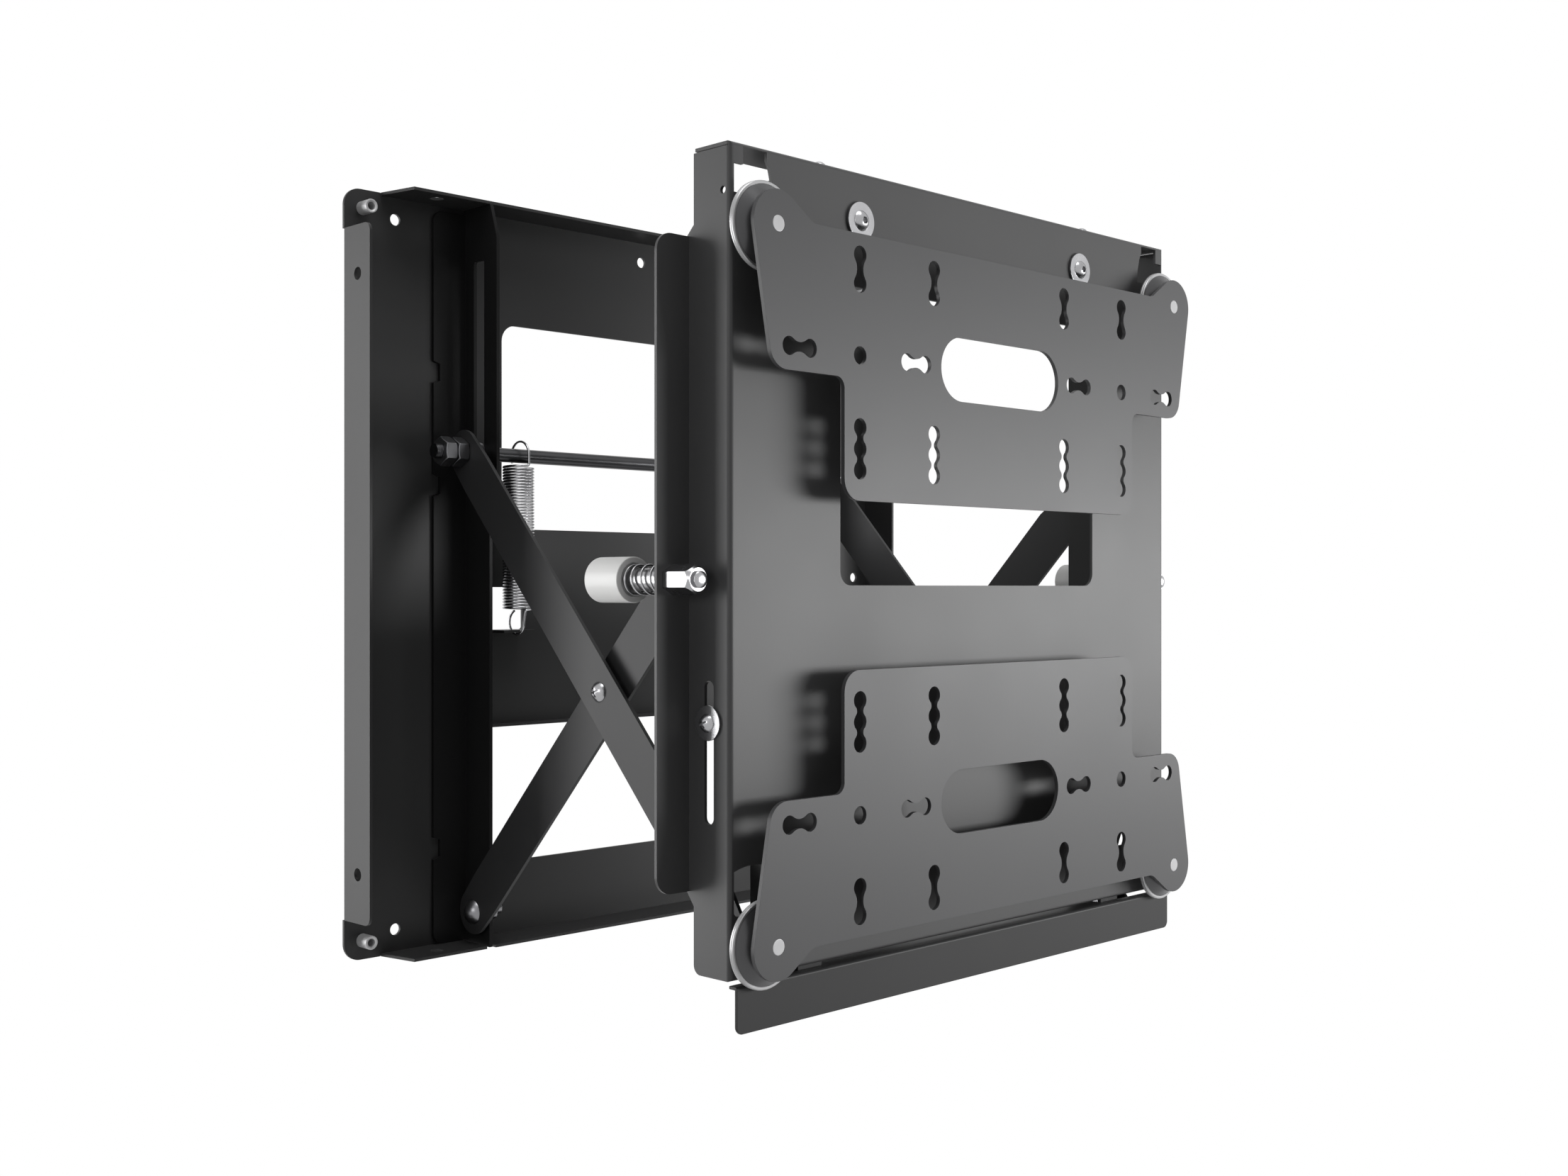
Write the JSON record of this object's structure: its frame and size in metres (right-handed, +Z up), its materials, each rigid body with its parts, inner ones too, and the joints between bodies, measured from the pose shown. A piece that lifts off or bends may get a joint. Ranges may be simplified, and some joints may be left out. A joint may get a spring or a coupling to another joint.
{
  "type": "push-out wall mount for a flat display panel",
  "caption": "Scissor-arm wall mount for a flat display: wall frame, arms on a cross rod with lift springs, pushed-out front pan, tilt wheels and two display plates.",
  "frame": {"origin": "centre of the wall plate's back face, on the wall", "axes": "+X right as seen from the front, +Y into the wall, +Z up; the front faces -Y"},
  "size_m": [0.783, 0.5323, 0.783],
  "materials": {
    "frame_paint": "satin powder coat",
    "arm_paint": "satin powder coat",
    "carriage_paint": "satin powder coat",
    "pan_paint": "satin powder coat",
    "display_paint": "satin powder coat",
    "rod_steel": "dark oiled steel",
    "zinc": "zinc plated",
    "plain_steel": "plain steel",
    "spring_steel": "bright drawn wire",
    "wheel_metal": "turned",
    "white_plastic": "moulded",
    "roller_plastic": "moulded"
  },
  "bodies": {
    "wall_frame": {"wall_plate": "frame_paint", "wall_channel_left": "frame_paint", "wall_channel_right": "frame_paint", "corner_barrels": "zinc", "rear_pivot_bolts": "plain_steel", "rear_pivot_nuts": "plain_steel", "rear_pivot_bushes": "plain_steel", "lift_spring_left": "spring_steel", "lift_spring_right": "spring_steel"},
    "inner_arm_left": {"arm_b_left": "arm_paint", "slide_pin_left": "plain_steel", "slide_roller_left": "roller_plastic"},
    "inner_arm_right": {"arm_b_right": "arm_paint", "slide_pin_right": "plain_steel", "slide_roller_right": "roller_plastic"},
    "outer_arm_left": {"arm_a_left": "arm_paint", "centre_screw_left": "zinc", "centre_spacer_left": "plain_steel", "cross_rod": "rod_steel", "rod_nuts": "plain_steel", "rod_rings": "plain_steel", "rod_bushes": "plain_steel"},
    "outer_arm_right": {"arm_a_right": "arm_paint", "centre_screw_right": "zinc", "centre_spacer_right": "plain_steel"},
    "carriage": {"front_channel_left": "carriage_paint", "front_channel_right": "carriage_paint", "top_rail": "carriage_paint", "bottom_rail": "carriage_paint", "front_pivot_bolts": "plain_steel", "front_pivot_bushes": "plain_steel", "front_pivot_nuts": "plain_steel", "lock_bolts": "zinc", "lock_washers": "zinc", "lock_nuts": "plain_steel"},
    "height_left": {"height_screw_left": "zinc"},
    "height_right": {"height_screw_right": "zinc"},
    "pan_body": {"pan": "pan_paint", "height_nuts": "plain_steel", "stud_nuts": "plain_steel", "plunger_sleeves": "zinc", "plunger_nuts": "zinc", "plunger_spring_left": "spring_steel", "plunger_spring_right": "spring_steel"},
    "clamp_left": {"side_clamp_screw_left": "zinc", "side_clamp_washer_left": "zinc", "side_clamp_nut_left": "plain_steel"},
    "clamp_right": {"side_clamp_screw_right": "zinc", "side_clamp_washer_right": "zinc", "side_clamp_nut_right": "plain_steel"},
    "bumper_body_left": {"bumper_left": "white_plastic"},
    "bumper_body_right": {"bumper_right": "white_plastic"},
    "upper_display": {"display_plate_upper": "display_paint"},
    "lower_display": {"display_plate_lower": "display_paint"},
    "wheel_upper_left": {"adjuster_upper_left": "wheel_metal"},
    "wheel_upper_right": {"adjuster_upper_right": "wheel_metal"},
    "wheel_lower_left": {"adjuster_lower_left": "wheel_metal"},
    "wheel_lower_right": {"adjuster_lower_right": "wheel_metal"}
  },
  "joints": [
    {"name": "fold", "type": "hinge", "parent": "wall_frame", "child": "inner_arm_left", "pos_m": [-0.2535, -0.031, -0.3546], "axis": [-1, 0, 0], "range_deg": [0, 34.28], "deforming": ["lift_spring_left", "lift_spring_right"]},
    {"name": "scissor_left", "type": "hinge", "parent": "inner_arm_left", "child": "outer_arm_left", "pos_m": [-0.266, -0.25606, -0.11325], "axis": [-1, 0, 0], "range_deg": [-68.56, 0]},
    {"name": "front_left", "type": "hinge", "parent": "outer_arm_left", "child": "carriage", "pos_m": [-0.266, -0.48112, -0.3546], "axis": [-1, 0, 0], "range_deg": [0, 34.28]},
    {"name": "fold_right", "type": "hinge", "parent": "wall_frame", "child": "inner_arm_right", "pos_m": [0.2535, -0.031, -0.3546], "axis": [-1, 0, 0], "range_deg": [0, 34.28]},
    {"name": "scissor_right", "type": "hinge", "parent": "inner_arm_right", "child": "outer_arm_right", "pos_m": [0.266, -0.25606, -0.11325], "axis": [-1, 0, 0], "range_deg": [-68.56, 0]},
    {"name": "pan_height", "type": "slide", "parent": "carriage", "child": "pan_body", "axis": [0, 0, 1], "range_m": [0, 0.0075]},
    {"name": "height_turn_left", "type": "hinge", "parent": "carriage", "child": "height_left", "pos_m": [-0.2, -0.482, 0.36], "axis": [0, 0, -1], "range_deg": [0, 2161]},
    {"name": "height_turn_right", "type": "hinge", "parent": "carriage", "child": "height_right", "pos_m": [0.2, -0.482, 0.36], "axis": [0, 0, -1], "range_deg": [0, 2161]},
    {"name": "clamp_slide_left", "type": "slide", "parent": "pan_body", "child": "clamp_left", "axis": [0, 0, 1], "range_m": [-0.078, 0.028]},
    {"name": "clamp_slide_right", "type": "slide", "parent": "pan_body", "child": "clamp_right", "axis": [0, 0, 1], "range_m": [-0.078, 0.028]},
    {"name": "bumper_press_left", "type": "slide", "parent": "pan_body", "child": "bumper_body_left", "axis": [0, -1, 0], "range_m": [0, 0.025], "stiffness_N_per_m": 1500, "springref_m": -0.004, "deforming": ["plunger_spring_left"]},
    {"name": "bumper_press_right", "type": "slide", "parent": "pan_body", "child": "bumper_body_right", "axis": [0, -1, 0], "range_m": [0, 0.025], "stiffness_N_per_m": 1500, "springref_m": -0.004, "deforming": ["plunger_spring_right"]},
    {"name": "tilt_upper", "type": "slide", "parent": "pan_body", "child": "upper_display", "axis": [0, -1, 0], "range_m": [-0.003, 0.003]},
    {"name": "wheel_turn_upper_left", "type": "hinge", "parent": "upper_display", "child": "wheel_upper_left", "pos_m": [-0.3, -0.514, 0.2884], "axis": [0, -1, 0], "range_deg": [-721, 721]},
    {"name": "wheel_turn_upper_right", "type": "hinge", "parent": "upper_display", "child": "wheel_upper_right", "pos_m": [0.3, -0.514, 0.2884], "axis": [0, -1, 0], "range_deg": [-721, 721]},
    {"name": "tilt_lower", "type": "slide", "parent": "pan_body", "child": "lower_display", "axis": [0, -1, 0], "range_m": [-0.003, 0.003]},
    {"name": "wheel_turn_lower_left", "type": "hinge", "parent": "lower_display", "child": "wheel_lower_left", "pos_m": [-0.3, -0.514, -0.3116], "axis": [0, -1, 0], "range_deg": [-721, 721]},
    {"name": "wheel_turn_lower_right", "type": "hinge", "parent": "lower_display", "child": "wheel_lower_right", "pos_m": [0.3, -0.514, -0.3116], "axis": [0, -1, 0], "range_deg": [-721, 721]}
  ],
  "couplings": [
    {"joint": "scissor_left", "follows": "fold", "ratio": -2},
    {"joint": "front_left", "follows": "fold", "ratio": 1},
    {"joint": "fold_right", "follows": "fold", "ratio": 1},
    {"joint": "scissor_right", "follows": "fold", "ratio": -2},
    {"joint": "height_turn_left", "follows": "pan_height", "rad_per_m": 5026.5},
    {"joint": "height_turn_right", "follows": "pan_height", "rad_per_m": 5026.5},
    {"joint": "wheel_turn_upper_left", "follows": "tilt_upper", "rad_per_m": 4188.8},
    {"joint": "wheel_turn_upper_right", "follows": "tilt_upper", "rad_per_m": 4188.8},
    {"joint": "wheel_turn_lower_left", "follows": "tilt_lower", "rad_per_m": 4188.8},
    {"joint": "wheel_turn_lower_right", "follows": "tilt_lower", "rad_per_m": 4188.8}
  ]
}
